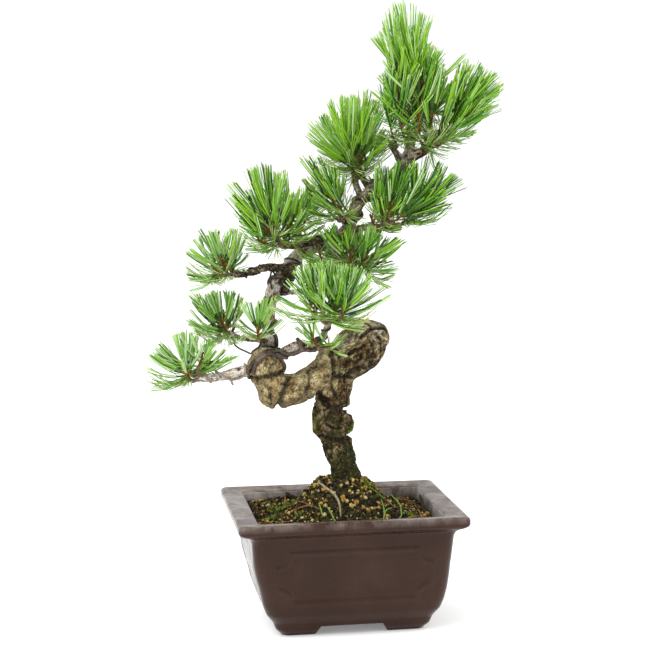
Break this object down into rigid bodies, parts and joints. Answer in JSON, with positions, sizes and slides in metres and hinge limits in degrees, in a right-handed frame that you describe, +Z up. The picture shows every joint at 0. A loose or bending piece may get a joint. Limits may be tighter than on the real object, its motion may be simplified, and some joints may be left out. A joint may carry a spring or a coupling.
{
  "type": "potted japanese white pine bonsai",
  "caption": "Leaning bonsai pine with a gnarled trunk, a low bend, tufted needle masses and a rectangular unglazed pot on bracket feet.",
  "frame": {"origin": "centre of the whole plant's box at the ground that the pot's feet stand on", "axes": "+Z up, -Y the show side, +X to the right of someone who faces the show side"},
  "size_m": [0.2417, 0.137, 0.4207],
  "materials": {
    "pot_clay": "satin",
    "soil": "matte",
    "bark": "matte",
    "needles": "matte",
    "wire": "satin"
  },
  "bodies": {
    "root": {"pot": "pot_clay", "soil": "soil", "trunk": "bark", "knob": "bark", "low_limb": "bark", "leader": "bark", "bough_lowest": "bark", "bough_low_back": "bark", "bough_low_front": "bark", "bough_left": "bark", "bough_high_left": "bark", "bough_right_low": "bark", "bough_right_high": "bark", "bough_middle": "bark", "bough_upper_left": "bark", "bough_upper": "bark", "bough_upper_right": "bark", "bough_top_right": "bark", "bough_top_left": "bark", "stub_right": "bark", "bough_back_low": "bark", "bough_back_left": "bark", "bough_back_middle": "bark", "bough_back_right": "bark", "bough_back_upper": "bark", "bough_back_top": "bark", "needles_lowest": "needles", "needles_low_back": "needles", "needles_low_front": "needles", "needles_left": "needles", "needles_high_left": "needles", "needles_right_low": "needles", "needles_front": "needles", "needles_middle": "needles", "needles_upper_left": "needles", "needles_upper": "needles", "needles_upper_right": "needles", "needles_apex": "needles", "needles_top_right": "needles", "needles_back_low": "needles", "needles_back_left": "needles", "needles_back_middle": "needles", "needles_back_right": "needles", "needles_back_upper": "needles", "needles_back_top": "needles"}
  },
  "joints": []
}
